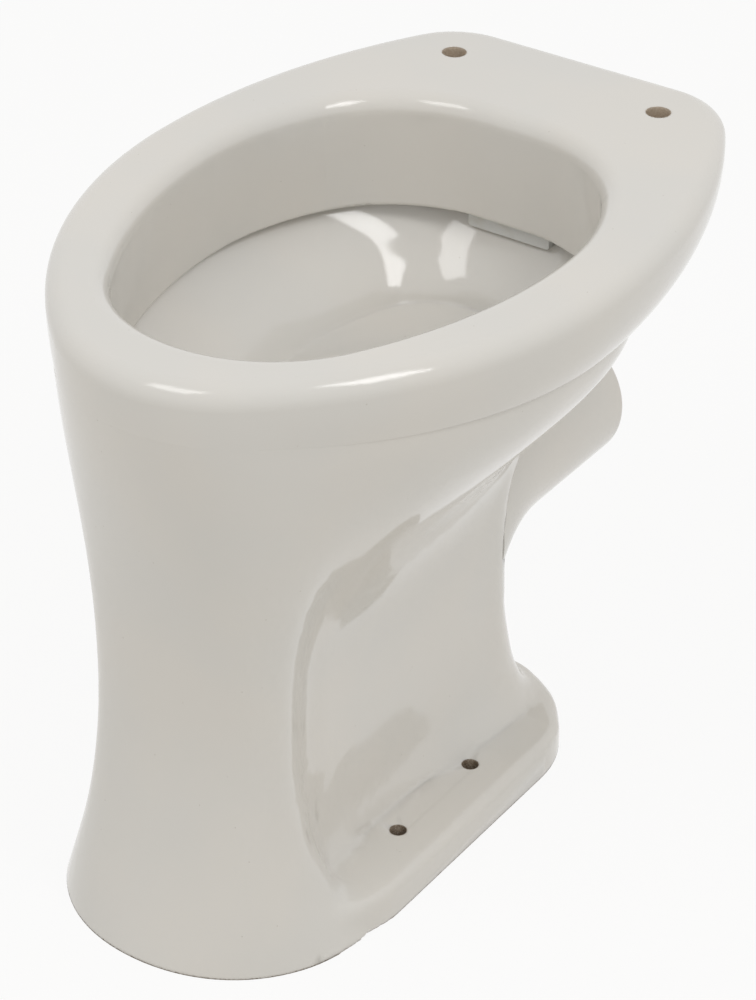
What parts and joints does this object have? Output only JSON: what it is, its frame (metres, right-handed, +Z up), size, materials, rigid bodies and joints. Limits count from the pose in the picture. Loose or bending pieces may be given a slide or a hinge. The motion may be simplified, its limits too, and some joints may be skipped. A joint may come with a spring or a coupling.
{
  "type": "washout toilet pan",
  "caption": "Floor-standing washout toilet pan of glazed ceramic with an open box rim, an inner shelf, a drop hole, a horizontal outlet and a flush distributor.",
  "frame": {"origin": "on the floor, under the middle of the bounding box", "axes": "+Z up, +Y from the front of the bowl to the outlet and the wall, +X to the right seen from the front"},
  "size_m": [0.35, 0.5101, 0.415],
  "materials": {
    "glaze": "glossy warm white glaze, bare body in the holes and under the foot",
    "plastic": "smooth moulded white plastic"
  },
  "bodies": {
    "root": {"pedestal_shell": "glaze", "bowl_basin": "glaze", "rim_ring": "glaze", "trap_siphon": "glaze", "outlet_spigot": "glaze", "flush_inlet_socket": "glaze", "flush_distributor": "plastic"}
  },
  "joints": []
}
